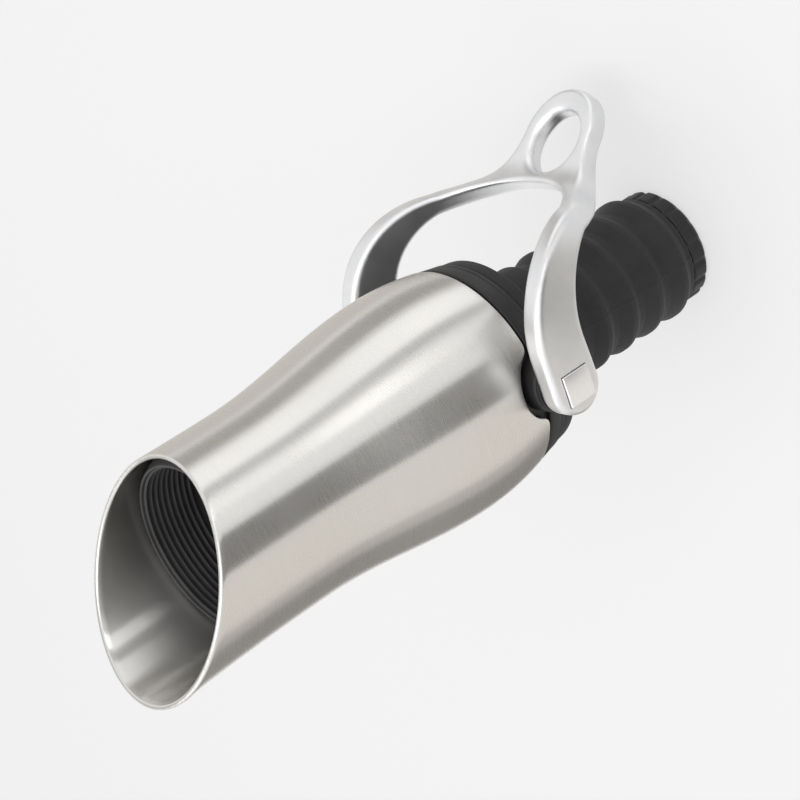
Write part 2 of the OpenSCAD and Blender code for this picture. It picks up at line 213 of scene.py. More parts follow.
def along_y(verts, side):
    """Turns a shape made about Z to lie along the pivot, on the side of +Y (1) or -Y (-1)."""
    verts = np.asarray(verts)
    return np.stack([verts[:, 0] * side, verts[:, 2] * side, PIVOT_Z + verts[:, 1]], axis=-1)


def on_side(shape, side):
    """The shape as it is for the side of +Y (1), mirrored for -Y (-1)."""
    return np.asarray(shape[0]) * (1, side, 1), shape[1]


def rounded_box(lo, hi, edge):
    """Vertices and faces of a box whose edges are cut back."""
    shape = bmesh.new()
    bmesh.ops.create_cube(shape, size=1)
    for v in shape.verts:
        v.co = [a + (b - a) * (c + 0.5) for a, b, c in zip(lo, hi, v.co)]
    bmesh.ops.bevel(shape, geom=shape.edges[:], offset=edge, segments=3, profile=0.5, affect="EDGES")
    verts = np.array([v.co[:] for v in shape.verts])
    faces = [tuple(v.index for v in f.verts) for f in shape.faces]
    shape.free()
    return verts, faces


def joined(*shapes):
    """One list of vertices and faces from several."""
    verts, faces = [], []
    for v, f in shapes:
        start = sum(len(x) for x in verts)
        verts.append(np.asarray(v))
        faces += [tuple(int(i) + start for i in face) for face in f]
    return np.concatenate(verts), faces


def shade(work, mesh):
    """Puts a finished bmesh into a mesh, smooth between its sharp edges."""
    work.to_mesh(mesh)
    work.free()
    mesh.shade_smooth()
    mesh.set_sharp_from_angle(angle=SHARP)


def mesh_of(name, shape):
    """A smooth-shaded object from vertices in millimetres and faces."""
    verts, faces = shape
    mesh = bpy.data.meshes.new(name)
    points = [tuple(v) for v in np.asarray(verts, float) * MM]
    mesh.from_pydata(points, [], [tuple(map(int, f)) for f in faces])
    work = bmesh.new()
    work.from_mesh(mesh)
    bmesh.ops.recalc_face_normals(work, faces=work.faces)
    shade(work, mesh)
    obj = bpy.data.objects.new(name, mesh)
    bpy.context.scene.collection.objects.link(obj)
    return obj


def combine(obj, operation, *shapes):
    """Adds closed shapes to obj's own mesh (UNION) or cuts them out of it (DIFFERENCE)."""
    other = mesh_of("other", joined(*shapes))
    modifier = obj.modifiers.new("combine", "BOOLEAN")
    modifier.operation = operation
    modifier.solver = "EXACT"
    modifier.object = other
    bpy.context.view_layer.update()
    mesh = bpy.data.meshes.new_from_object(obj.evaluated_get(bpy.context.evaluated_depsgraph_get()))
    obj.modifiers.clear()
    obj.data = mesh
    work = bmesh.new()
    work.from_mesh(mesh)
    sliver = 0.005 * MM
    bmesh.ops.dissolve_degenerate(work, dist=sliver, edges=work.edges)
    bmesh.ops.triangulate(work, faces=[f for f in work.faces if len(f.verts) > 4])
    shade(work, mesh)
    bpy.data.objects.remove(other)


def fit(obj, look, body, slot, *nodes):
    """Gives a piece its material and its body, and hides the nodes that it stands for; the slot is not used.
    """
    obj.data.materials.clear()
    obj.data.materials.append(look)
    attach(obj, body)
    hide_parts(*nodes)


# Material helpers


def material(name):
    """A new node material, its tree and its shader."""
    made = bpy.data.materials.new(name)
    made.use_nodes = True
    return made, made.node_tree, made.node_tree.nodes["Principled BSDF"]


def node(tree, kind, inputs=None, **settings):
    """Adds a node, with its settings made and its inputs set or linked."""
    made = tree.nodes.new(kind)
    for key, value in settings.items():
        setattr(made, key, value)
    for key, value in (inputs or {}).items():
        if isinstance(value, bpy.types.NodeSocket):
            tree.links.new(value, made.inputs[key])
        else:
            made.inputs[key].default_value = value
    return made


def place(tree):
    """The position in the part's frame, in metres."""
    return node(tree, "ShaderNodeTexCoord").outputs["Object"]


def noise(tree, where, scale, detail=3.0, roughness=0.55):
    """A noise value at a position."""
    inputs = {"Vector": where, "Scale": scale, "Detail": detail, "Roughness": roughness}
    return node(tree, "ShaderNodeTexNoise", inputs).outputs["Fac"]


def spread(tree, value, low, high, first=0.3, last=0.7):
    """Maps the values from first to last, which suit noise, to the range from low to high."""
    inputs = {"Value": value, "From Min": first, "From Max": last, "To Min": low, "To Max": high}
    return node(tree, "ShaderNodeMapRange", inputs).outputs["Result"]


def tint(tree, value, *stops):
    """A colour ramp of (position, (r, g, b)) stops."""
    ramp = node(tree, "ShaderNodeValToRGB", {"Fac": value})
    while len(ramp.color_ramp.elements) < len(stops):
        ramp.color_ramp.elements.new(0.5)
    for element, (position, colour) in zip(ramp.color_ramp.elements, stops):
        element.position = position
        element.color = (*colour, 1)
    return ramp.outputs["Color"]


def total(tree, a, b, operation="ADD"):
    """The sum of two values, or the result of another operation on them."""
    return node(tree, "ShaderNodeMath", {0: a, 1: b}, operation=operation).outputs[0]


def bump(tree, height, strength, distance):
    """A normal tilted by a height, whose full range is a distance in metres."""
    inputs = {"Height": height, "Strength": strength, "Distance": distance}
    return node(tree, "ShaderNodeBump", inputs).outputs["Normal"]


def finish_with(tree, shader, **inputs):
    """Sets or links the shader's inputs, by name with spaces as underscores."""
    for key, value in inputs.items():
        socket = shader.inputs[key.replace("_", " ")]
        if isinstance(value, bpy.types.NodeSocket):
            tree.links.new(value, socket)
        else:
            socket.default_value = value


def from_axis(tree):
    """The direction away from the pouring axis, and the height along it."""
    xyz = node(tree, "ShaderNodeSeparateXYZ", {"Vector": place(tree)})
    flat = node(tree, "ShaderNodeCombineXYZ", {"X": xyz.outputs["X"], "Y": xyz.outputs["Y"]})
    unit = node(tree, "ShaderNodeVectorMath", {0: flat.outputs["Vector"]}, operation="NORMALIZE")
    return unit.outputs["Vector"], xyz.outputs["Z"]


def round_axis(tree, around, along):
    """A position that runs slowly round the pouring axis and fast along it, for brush lines."""
    out, height = from_axis(tree)
    slow = node(tree, "ShaderNodeVectorMath", {0: out, "Scale": around}, operation="SCALE")
    rise = node(tree, "ShaderNodeCombineXYZ", {"Z": total(tree, height, along, "MULTIPLY")})
    both = {0: slow.outputs["Vector"], 1: rise.outputs["Vector"]}
    return node(tree, "ShaderNodeVectorMath", both, operation="ADD").outputs["Vector"]


def facing_out(tree):
    """1 on a wall that faces away from the pouring axis, -1 on one that faces it, about 0 on a cut edge."""
    out, _ = from_axis(tree)
    both = {0: out, 1: node(tree, "ShaderNodeTexCoord").outputs["Normal"]}
    return node(tree, "ShaderNodeVectorMath", both, operation="DOT_PRODUCT").outputs["Value"]


def steel_material():
    """Drawn stainless: brushed round its axis outside, plainer inside, and duller and darker on a cut edge,
    where the darker colour is painted shade that dims the rim's highlight.
    """
    made, tree, shader = material("brushed_steel")
    lines = noise(tree, round_axis(tree, around=3.0, along=6500), scale=1.0)
    bands = noise(tree, round_axis(tree, around=1.6, along=1500), scale=1.0, detail=2.0)
    smudges = noise(tree, place(tree), scale=70.0)
    blotches = noise(tree, place(tree), scale=110.0, detail=1.0, roughness=0.4)
    facing = facing_out(tree)
    outside = spread(tree, facing, 0.0, 1.0, first=-0.3, last=0.3)
    inside = total(tree, 1.0, outside, "SUBTRACT")

    # Brush marks outside, an even tone inside, and less of either on a cut edge, where the tone is also taken
    # down: painted shade that dims the rim's highlight
    marks = total(tree, total(tree, lines, 0.65, "MULTIPLY"), total(tree, bands, 0.35, "MULTIPLY"))
    even = spread(tree, outside, 0.36, 0.0, first=0.0, last=1.0)
    painted_edge_shade = spread(tree, total(tree, facing, 0.0, "ABSOLUTE"), 0.3, 0.0, first=0.35, last=0.9)
    tone = total(tree, total(tree, marks, outside, "MULTIPLY"), even)
    tone = total(tree, tone, painted_edge_shade, "SUBTRACT")
    colours = ((0.05, (0.44, 0.43, 0.415)), (0.3, (0.695, 0.68, 0.655)), (0.7, (0.725, 0.71, 0.685)))

    # Gloss that follows the brush lines and smudges outside and soft blotches inside
    brushed = total(tree, spread(tree, lines, 0.265, 0.29), spread(tree, smudges, -0.015, 0.015))
    drawn = spread(tree, blotches, 0.215, 0.265, first=0.2, last=0.8)
    rough = total(tree, total(tree, brushed, outside, "MULTIPLY"), total(tree, inside, drawn, "MULTIPLY"))
    finish_with(
        tree,
        shader,
        Base_Color=tint(tree, tone, *colours),
        Roughness=rough,
        Metallic=1.0,
        Anisotropic=0.9,
        Anisotropic_Rotation=0.25,
        Tangent=node(tree, "ShaderNodeTangent", direction_type="RADIAL", axis="Z").outputs["Tangent"],
        Normal=bump(tree, lines, strength=0.012, distance=0.00002),
    )
    return made


def satin_material():
    """Cast and shot-blasted light alloy, with a fine grain."""
    made, tree, shader = material("satin_metal")
    grain = noise(tree, place(tree), scale=6500.0)
    flow = noise(tree, place(tree), scale=220.0)
    finish_with(
        tree,
        shader,
        Base_Color=tint(tree, flow, (0.3, (0.725, 0.73, 0.74)), (0.7, (0.80, 0.80, 0.805))),
        Roughness=total(tree, spread(tree, grain, 0.34, 0.42), spread(tree, flow, -0.02, 0.03)),
        Metallic=1.0,
        Normal=bump(tree, grain, strength=0.04, distance=0.00003),
    )
    return made


def plastic_material(name, dark, light, low, high):
    """Black moulding with a spark-eroded grain and uneven gloss."""
    made, tree, shader = material(name)
    grain = noise(tree, place(tree), scale=5200.0, detail=2.0)
    flow = noise(tree, place(tree), scale=160.0, detail=4.0)
    finish_with(
        tree,
        shader,
        Base_Color=tint(tree, flow, (0.3, dark), (0.7, light)),
        Roughness=total(tree, spread(tree, grain, low, high), spread(tree, flow, -0.04, 0.05)),
        Specular_IOR_Level=0.35,
        Normal=bump(tree, grain, strength=0.12, distance=0.00004),
    )
    return made


def rubber_material(name, dark, light):
    """Matte rubber with a soft bloom."""
    made, tree, shader = material(name)
    grain = noise(tree, place(tree), scale=4200.0)
    bloom = noise(tree, place(tree), scale=120.0, detail=5.0, roughness=0.65)
    finish_with(
        tree,
        shader,
        Base_Color=tint(tree, bloom, (0.3, dark), (0.75, light)),
        Roughness=total(tree, spread(tree, grain, 0.55, 0.70), spread(tree, bloom, -0.05, 0.08)),
        Specular_IOR_Level=0.3,
        Sheen_Weight=0.05,
        Sheen_Roughness=0.6,
        Normal=bump(tree, grain, strength=0.15, distance=0.00005),
    )
    return made


def turned_material(name, dark, light, low, high):
    """Bright turned steel with fine tool marks."""
    made, tree, shader = material(name)
    marks = noise(tree, place(tree), scale=2600.0)
    finish_with(
        tree,
        shader,
        Base_Color=tint(tree, marks, (0.3, dark), (0.7, light)),
        Roughness=spread(tree, marks, low, high),
        Metallic=1.0,
        Normal=bump(tree, marks, strength=0.02, distance=0.00001),
    )
    return made


def seat_material():
    """Waxy white fluoropolymer."""
    made, tree, shader = material("seat_white")
    cloud = noise(tree, place(tree), scale=400.0, detail=4.0)
    finish_with(
        tree,
        shader,
        Base_Color=tint(tree, cloud, (0.3, (0.76, 0.75, 0.70)), (0.7, (0.86, 0.85, 0.81))),
        Roughness=spread(tree, cloud, 0.38, 0.52),
        Normal=bump(tree, cloud, strength=0.05, distance=0.00005),
    )
    return made


STEEL = steel_material()
SATIN = satin_material()
BLACK = plastic_material("black_plastic", (0.016, 0.016, 0.017), (0.026, 0.026, 0.028), 0.40, 0.52)
# The liner's black is lighter than black_plastic: partly its own dark grey, partly painted light for a liner
# deep in the mouth where little light reaches
LINER = plastic_material("liner_black", (0.040, 0.040, 0.040), (0.058, 0.058, 0.059), 0.42, 0.54)
SOFT = rubber_material("soft_black", (0.014, 0.014, 0.015), (0.024, 0.024, 0.026))
PLUG = rubber_material("plug_rubber", (0.016, 0.016, 0.017), (0.038, 0.038, 0.040))
SEAL = rubber_material("seal_rubber", (0.030, 0.030, 0.030), (0.055, 0.055, 0.055))
SPINDLE = turned_material("spindle_steel", (0.88, 0.88, 0.89), (0.92, 0.92, 0.93), 0.32, 0.38)
CHROME = turned_material("ball_chrome", (0.70, 0.70, 0.72), (0.80, 0.80, 0.81), 0.06, 0.14)
SEAT = seat_material()


# Spout sleeve


def sleeve_r(z):
    """Outer radius of the sleeve at height z."""
    if z < BULGE_Z:
        return BULGE_R - (BULGE_R - RIM_R) * ((BULGE_Z - z) / (BULGE_Z - RIM_Z)) ** 2
    if z < WAIST_Z:
        share = (z - BULGE_Z) / (WAIST_Z - BULGE_Z)
        return WAIST_R + (BULGE_R - WAIST_R) * (1 + math.cos(math.pi * share)) / 2
    return WAIST_R + (MOUTH_R - WAIST_R) * ((z - WAIST_Z) / (MOUTH_Z - WAIST_Z)) ** 2


def sleeve_normal(z):
    """Outward direction of the sleeve's wall at height z, as (radial, axial)."""
    near = 0.05
    slope = (sleeve_r(z + near) - sleeve_r(z - near)) / (2 * near)
    size = math.hypot(1, slope)
    return 1 / size, -slope / size


def rim_curve(half):
    """(x, z) of the rear rim's edge across one notch, set back from the edge by half a sheet."""
    arc_points, spacing, straight, passes = 41, 0.25, 2.0, 12
    rise, r = RIM_Z + half, NOTCH_R + half
    corner = math.acos((rise - PIVOT_Z) / r)
    arc = [(r * math.sin(a), PIVOT_Z + r * math.cos(a)) for a in np.linspace(-corner, corner, arc_points)]
    points = np.array([(-r - straight, rise)] + arc + [(r + straight, rise)])
    dense = []
    for a, b in zip(points[:-1], points[1:]):
        for t in np.linspace(0, 1, max(2, int(np.linalg.norm(b - a) / spacing) + 1))[:-1]:
            dense.append(a + (b - a) * t)
    dense = np.array(dense + [points[-1]])
    for _ in range(passes):
        dense[1:-1] = (dense[:-2] + 2 * dense[1:-1] + dense[2:]) / 4
    return dense


def spout_shell():
    """The sleeve with its slanted mouth, its two notches and rounded edges."""
    half = SHEET_T / 2
    rows, plain_columns, edge_steps, rounds, lean = 72, 58, 9, 8, 0.5
    notch = rim_curve(half)
    span = math.asin(notch[-1][0] / RIM_R)
    columns = []
    for side in (1, -1):
        for x, z in notch[:: -1 if side > 0 else 1]:
            columns.append((side * math.acos(x / RIM_R) % (2 * math.pi), z))
    free = math.pi / 2 - span
    for middle in (0, math.pi):
        for a in np.linspace(-free, free, plain_columns)[1:-1]:
            columns.append(((middle + a) % (2 * math.pi), RIM_Z + half))
    columns = sorted(columns)

    def wall(angle, z):
        """The middle of the sheet, and its outward direction."""
        r = sleeve_r(z)
        across, along = sleeve_normal(z)
        out = np.array((math.cos(angle) * across, math.sin(angle) * across, along))
        outer = np.array((math.cos(angle) * r, math.sin(angle) * r, z))
        return outer - out * half, out

    tops = []
    for angle, _ in columns:
        z = MOUTH_Z
        for _ in range(rounds):
            z = MOUTH_Z - (sleeve_r(z) - half) * math.cos(angle) * MOUTH_SLOPE
        tops.append(z - half * math.hypot(1, MOUTH_SLOPE * math.sin(angle) * lean))
    count = len(columns)
    foot = [wall(angle, z) for angle, z in columns]
    head = [wall(angle, z) for (angle, _), z in zip(columns, tops)]

    def edge_way(ring, i, upward):
        """Direction out of the sheet at its edge, square to the edge."""
        run = ring[(i + 1) % count][0] - ring[i - 1][0]
        way = np.cross(ring[i][1], run)
        way = way / np.linalg.norm(way)
        return way if (way[2] > 0) == upward else -way

    verts = []
    turns = np.linspace(0, math.pi, edge_steps)[1:-1]
    for i, (angle, low) in enumerate(columns):
        levels = np.linspace(low, tops[i], rows)
        walls = [wall(angle, z) for z in levels]
        verts += [mid + out * half for mid, out in walls]
        way = edge_way(head, i, True)
        mid, out = walls[-1]
        verts += [mid + half * (out * math.cos(t) + way * math.sin(t)) for t in turns]
        verts += [mid - out * half for mid, out in walls[::-1]]
        way = edge_way(foot, i, False)
        mid, out = walls[0]
        verts += [mid + half * (-out * math.cos(t) + way * math.sin(t)) for t in turns]
    return np.array(verts), grid_faces(count, len(verts) // count)


fit(mesh_of("spout_shell", spout_shell()), STEEL, "pourer", "brushed_steel", "spout_sleeve")


# Valve body, gasket and liner


def collar_r(z):
    """Outer radius of the collar at height z."""
    return LIP_R + COLLAR_SLOPE * z


def boss(side):
    """One spindle boss, standing out of the body through the sleeve's notch."""
    foot = [(0, BOSS_ROOT, 0), (BOSS_R, BOSS_ROOT, 0)]
    face = [(BOSS_R, BOSS_FACE, 0.45), (0, BOSS_FACE, 0)]
    verts, faces = turned(fillet(foot + face), BOSS_TURN)
    over_gasket = verts[:, 1] < GASKET_T - PIVOT_Z
    reach = np.sqrt(np.maximum((collar_r(GASKET_T) + CLEAR) ** 2 - verts[:, 0] ** 2, 0))
    verts[:, 2] = np.where(over_gasket, np.maximum(verts[:, 2], reach), verts[:, 2])
    return along_y(verts, side), faces


def bore_shape():
    """What the two spindles' bores take out of the body."""
    reach = BOSS_FACE + PAST
    verts, faces = turned([(0, -reach), (BORE_R, -reach), (BORE_R, reach), (0, reach)], BOSS_TURN)
    return along_y(verts, 1), faces


def body_shape():
    """Hub, flange with its fine joint line, barrel, socket and ball cavity."""
    root = BARREL_R - SLEEVE_GROOVE
    ring = BULGE_R - SHEET_T - root + CLEAR
    line = collar_r(JOINT_Z)
    return revolve(
        fillet(
            [
                (CAVITY_R, HUB_FOOT, 0.2),
                (HUB_R, HUB_FOOT, 0.3),
                (HUB_R, GASKET_T, 0),
                (collar_r(GASKET_T), GASKET_T, 0.22),
                (line, JOINT_Z, 0.1),
                (line - JOINT_D, JOINT_Z + JOINT_HALF, 0.05),
                (line + JOINT_STEP, JOINT_Z + 2 * JOINT_HALF, 0.1),
                (collar_r(FLANGE_TOP), FLANGE_TOP, 0.35),
                (BARREL_R, FLANGE_TOP, 0),
                (BARREL_R, BULGE_Z - ring / 2, 0.1),
                (root, BULGE_Z - ring / 2, 0.1),
                (root, BULGE_Z + ring / 2, 0.1),
                (BARREL_R, BULGE_Z + ring / 2, 0.1),
                (BARREL_R, BODY_FRONT, 0.4),
                (SPIGOT_R + CLEAR, BODY_FRONT, 0.2),
                (SPIGOT_R + CLEAR, SOCKET_FOOT, 0),
                (PORT_R, SOCKET_FOOT, 0.2),
                (PORT_R, CAVITY_TOP, 0.2),
                (CAVITY_R, CAVITY_TOP, 0),
            ]
        ),
        BODY_TURN,
    )


def gasket_shape():
    """The soft lower half of the collar, recessed over the plug's top."""
    bore, seat, top = HUB_R + CLEAR, PLUG_R + CLEAR, GASKET_T - GAP
    return revolve(
        fillet(
            [
                (bore, GAP, 0),
                (seat, GAP, 0),
                (seat, 0, 0.02),
                (LIP_R, 0, 0.4),
                (collar_r(top) - CLEAR, top, 0.25),
                (bore, top, 0),
            ]
        ),
        BODY_TURN,
    )


def liner_shape():
    """Spigot, shoulder, funnel and ribbed mouth of the liner."""
    foot = LINER_FRONT - RIB_N * RIB_PITCH
    groove = (LINER_FOOT + BODY_FRONT) / 2
    root, shoulder = SPIGOT_R - LINER_GROOVE, BODY_FRONT + GAP
    corners = [
        (PORT_R, LINER_FOOT, 0.1),
        (SPIGOT_R, LINER_FOOT, 0.3),
        (SPIGOT_R, groove - LINER_GROOVE_HALF, 0.1),
        (root, groove - LINER_GROOVE_HALF, 0.1),
        (root, groove + LINER_GROOVE_HALF, 0.1),
        (SPIGOT_R, groove + LINER_GROOVE_HALF, 0.1),
        (SPIGOT_R, shoulder, 0),
        (BARREL_R - SHOULDER_IN, shoulder, 0.2),
        (BARREL_R - SHOULDER_IN, shoulder + SHOULDER_T, 0.2),
        (FUNNEL_R, shoulder + SHOULDER_T, 0.5),
        (LINER_R, foot - RIB_PITCH, 2.0),
        (LINER_R, LINER_FRONT - LEAD_LEN, 0.6),
        (LINER_IN + LEAD_T, LINER_FRONT, 0.12),
        (LINER_IN, LINER_FRONT, 0.12),
    ]
    for i in range(RIB_N - 1, -1, -1):
        z = foot + i * RIB_PITCH
        width = RIB_PITCH / 2
        corners += [
            (LINER_IN, z + width, 0.1),
            (LINER_IN - RIB_H, z + (1 - RIB_FLANK) * width, 0.1),
            (LINER_IN - RIB_H, z + RIB_FLANK * width, 0.1),
            (LINER_IN, z, 0.1),
        ]
    corners.append((LINER_IN, foot - RIB_PITCH, 2.0))
    return revolve(fillet(corners, 4))


body = mesh_of("collar_body", body_shape())
combine(body, "UNION", boss(1), boss(-1))
combine(body, "DIFFERENCE", bore_shape())
fit(body, BLACK, "pourer", "black_plastic", "valve_body")
fit(mesh_of("collar_gasket", gasket_shape()), SOFT, "pourer", "soft_black", "lip_gasket")
fit(mesh_of("ribbed_liner", liner_shape()), LINER, "pourer", "liner_black", "pour_liner")


# Plug, stem and ring nut


def plug_shape():
    """The rubber plug: a land, low fins and a moulding line along two sides."""
    pitch = (-PLUG_FOOT - LAND_LEN) / (FIN_N + 0.5)
    step = HUB_FOOT - CLEAR
    seam_columns, plain_columns, seam_from = 9, 80, STEM_R + 0.5
    corners = [
        (HUB_R + CLEAR, 0, 0.1),
        (PLUG_R, 0, 0.15),
        (PLUG_R, -LAND_LEN, 0.3),
        (ROOT_R, -LAND_LEN - (PLUG_R - ROOT_R), 0.5),
    ]
    for i in range(FIN_N):
        z = -LAND_LEN - (i + 0.5) * pitch
        corners += [
            (ROOT_R, z, 0.9),
            (FIN_R, z - CREST_START * pitch, 0.3),
            (FIN_R, z - CREST_END * pitch, 0.3),
            (ROOT_R, z - FIN_END * pitch, 0.6),
        ]
    corners += [
        (ROOT_R, PLUG_FOOT, 0.5),
        (STEM_R + CLEAR, PLUG_FOOT, 0.2),
        (STEM_R + CLEAR, step, 0),
        (HUB_R + CLEAR, step, 0),
    ]
    close = np.linspace(-SEAM_W, SEAM_W, seam_columns) / PLUG_R
    plain = np.linspace(close[-1], math.pi - close[-1], plain_columns)[1:-1]
    half = np.concatenate([close, plain]) - math.pi / 2
    verts, faces = revolve(fillet(corners, 6), angles=np.concatenate([half, half + math.pi]))
    r = np.hypot(verts[:, 0], verts[:, 1])
    off = np.abs(verts[:, 0]) / SEAM_W
    crown = (1 + np.cos(math.pi * np.minimum(off, 1))) / 2
    seam = np.where((off < 1) & (r > seam_from), crown, 0)
    verts[:, :2] *= (1 + SEAM_H * seam / r)[:, None]
    return verts, faces


def stem_shape():
    """The tube through the plug, with its seal's groove and a flared inlet."""
    top, shoulder = CAVITY_FOOT - GAP, HUB_FOOT - GAP
    outer = CAVITY_R - CLEAR
    root = outer - SMALL_GROOVE
    ring = (top + HUB_FOOT) / 2
    return revolve(
        fillet(
            [
                (PORT_R, top, 0.2),
                (outer, top, 0.2),
                (outer, ring + SMALL_GROOVE_HALF, 0.05),
                (root, ring + SMALL_GROOVE_HALF, 0.05),
                (root, ring - SMALL_GROOVE_HALF, 0.05),
                (outer, ring - SMALL_GROOVE_HALF, 0.05),
                (outer, shoulder, 0),
                (STEM_R, shoulder, 0.2),
                (STEM_R, PLUG_FOOT, 0.2),
                (THREAD_R, PLUG_FOOT, 0),
                (THREAD_R, STEM_FOOT, 0.3),
                (PORT_R + FLARE_R, STEM_FOOT, 0.35),
                (PORT_R, STEM_FOOT + FLARE_LEN, 1.0),
            ]
        )
    )


def nut_shape():
    """The ring nut, with shallow grips round its edge."""
    profile = fillet(
        [
            (THREAD_R + GAP, NUT_TOP, 0.1),
            (NUT_R, NUT_TOP, 0.25),
            (NUT_R, STEM_FOOT + NUT_CHAMFER, 0.4),
            (NUT_R - NUT_CHAMFER, STEM_FOOT, 0.3),
            (THREAD_R + GAP, STEM_FOOT, 0.2),
        ]
    )
    verts, faces = revolve(profile, GRIP_N * GRIP_COLUMNS)
    angle, r = np.arctan2(verts[:, 1], verts[:, 0]), np.hypot(verts[:, 0], verts[:, 1])
    rim = np.clip((r - NUT_R + GRIP_REACH) / GRIP_REACH, 0, 1)
    dip = GRIP_D * rim * np.clip(np.cos(GRIP_N * angle), 0, 1) ** 2
    verts[:, :2] *= (1 - dip / r)[:, None]
    return verts, faces


fit(mesh_of("finned_plug", plug_shape()), PLUG, "pourer", "plug_rubber", "stopper_plug")
fit(mesh_of("inlet_stem", stem_shape()), BLACK, "pourer", "black_plastic", "stem_tube")
nut = mesh_of("ring_nut", nut_shape())
slot_lo = (-NUT_R - PAST, -SLOT_HALF, STEM_FOOT - PAST)
slot_hi = (NUT_R + PAST, SLOT_HALF, STEM_FOOT + SLOT_D)
combine(nut, "DIFFERENCE", rounded_box(slot_lo, slot_hi, 0.1))
fit(nut, BLACK, "pourer", "black_plastic", "plug_retainer")


# Lever


BEND_END = ARM_STRAIGHT + BEND_R * math.pi / 2
RUN_END = BEND_END + RUN_LEN
KICK_END = RUN_END + KICK_R * KICK
LEVER_END = KICK_END + LOOP_STRAIGHT
LEVER_RISE = ARM_STRAIGHT + BEND_R
RUN_Z = PIVOT_Z - BEND_R - RUN_LEN
KICK_POINT = np.array((LEVER_RISE + KICK_R * (1 - math.cos(KICK)), RUN_Z - KICK_R * math.sin(KICK)))
LEVER_TIP = KICK_POINT + LOOP_STRAIGHT * np.array((math.sin(KICK), -math.cos(KICK)))
LEAN = math.atan2(PIVOT_Z - LEVER_TIP[1], LEVER_TIP[0])
LEVER_L = math.hypot(LEVER_TIP[0], PIVOT_Z - LEVER_TIP[1])
LOOP_C = LEVER_L - LOOP_L / 2
HOLE_C = LEVER_L - LOOP_RIM - HOLE_L / 2
ARCH_APEX = HOLE_C - HOLE_L / 2 - WEB_T
ARCH_IN = ARM_IN / (1 - (EYE_R / ARCH_APEX) ** ARCH_POWER) ** (1 / ARCH_POWER)
NECK_START = ARCH_APEX - LOOP_RIM


def heading(s):
    """Direction of the lever's centre line at distance s, from +X down towards -Z."""
    if s < ARM_STRAIGHT:
        return 0.0
    if s < BEND_END:
        return (s - ARM_STRAIGHT) / BEND_R
    if s < RUN_END:
        return math.pi / 2
    if s < KICK_END:
        return math.pi / 2 - (s - RUN_END) / KICK_R
    return math.pi / 2 - KICK


def lever_at(s):
    """Point (x, z) of the lever's centre line at distance s."""
    turn = heading(s)
    if s < ARM_STRAIGHT:
        return np.array((s, PIVOT_Z))
    if s < BEND_END:
        return np.array((ARM_STRAIGHT + BEND_R * math.sin(turn), PIVOT_Z - BEND_R * (1 - math.cos(turn))))
    if s < RUN_END:
        return np.array((LEVER_RISE, PIVOT_Z - BEND_R - (s - BEND_END)))
    if s < KICK_END:
        lift = math.pi / 2 - turn
        return np.array((LEVER_RISE + KICK_R * (1 - math.cos(lift)), RUN_Z - KICK_R * math.sin(lift)))
    return KICK_POINT + (s - KICK_END) * np.array((math.sin(KICK), -math.cos(KICK)))


def lever_side():
    """The lever's outline from the side, as (x, z)."""
    front, back = [], []
    for s in np.linspace(0, LEVER_END, LONG_STEPS):
        bent = min(max((s - ARM_STRAIGHT) / (BEND_END - ARM_STRAIGHT), 0), 1)
        half = PLATE_T / 2 + (EYE_R - PLATE_T / 2) * math.cos(math.pi / 2 * bent)
        across = half * np.array((math.sin(heading(s)), math.cos(heading(s))))
        front.append(lever_at(s) + across)
        back.append(lever_at(s) - across)
    turns = np.linspace(0, math.pi, ARC_STEPS)[1:-1]
    end = [np.array((-EYE_R * math.sin(a), PIVOT_Z - EYE_R * math.cos(a))) for a in turns]
    return np.array(front + back[::-1] + end)


def arch_half(reach):
    """Half the width over the arms at a reach from the pivot."""
    return ARM_OUT * (1 - (abs(reach) / (ARCH_APEX + WEB_T)) ** ARCH_POWER) ** (1 / ARCH_POWER)


def wishbone_outline():
    """The lever's outer outline, seen square to the line from pivot to tip, as (reach, width)."""
    along = np.linspace(-2 * EYE_R, NECK_START, LONG_STEPS // 2)
    half = [(reach, arch_half(reach)) for reach in along[:-1]]
    start, end = (NECK_START, arch_half(NECK_START)), (LOOP_C, LOOP_W / 2)
    pull = (ARCH_APEX + WEB_T, NECK_W / 2)
    for t in np.linspace(0, 1, ARC_STEPS)[:-1]:
        curve = zip(start, pull, end)
        half.append(tuple((1 - t) ** 2 * a + 2 * t * (1 - t) * b + t * t * c for a, b, c in curve))
    for a in np.linspace(math.pi / 2, 0, ARC_STEPS):
        half.append((LOOP_C + LOOP_L / 2 * math.cos(a), LOOP_W / 2 * math.sin(a)))
    return np.array(half + [(reach, -width) for reach, width in half[-2::-1]])


def oval(centre, a, b, power):
    """Closed superellipse about (centre, 0)."""
    t = np.arange(LONG_STEPS) * 2 * math.pi / LONG_STEPS
    c, s = np.cos(t), np.sin(t)
    u, v = (np.sign(x) * np.abs(x) ** (2 / power) for x in (c, s))
    return np.stack([centre + a * u, b * v], axis=-1)


def distance_table(loop, lo, hi, step):
    """Signed distance to a closed line on a flat grid, negative inside."""
    us, vs = np.arange(lo[0], hi[0], step), np.arange(lo[1], hi[1], step)
    u, v = np.meshgrid(us, vs, indexing="ij")
    near = np.full(u.shape, np.inf)
    inside = np.zeros(u.shape, bool)
    for (ua, va), (ub, vb) in zip(loop, np.roll(loop, -1, axis=0)):
        du, dv = ub - ua, vb - va
        size = du * du + dv * dv
        if math.isclose(size, 0, abs_tol=1e-12):
            continue
        t = np.clip(((u - ua) * du + (v - va) * dv) / size, 0, 1)
        near = np.minimum(near, (u - ua - t * du) ** 2 + (v - va - t * dv) ** 2)
        if va != vb:
            inside ^= ((va > v) != (vb > v)) & (u < ua + (v - va) * du / dv)
    near = np.sqrt(near)
    return np.where(inside, -near, near)


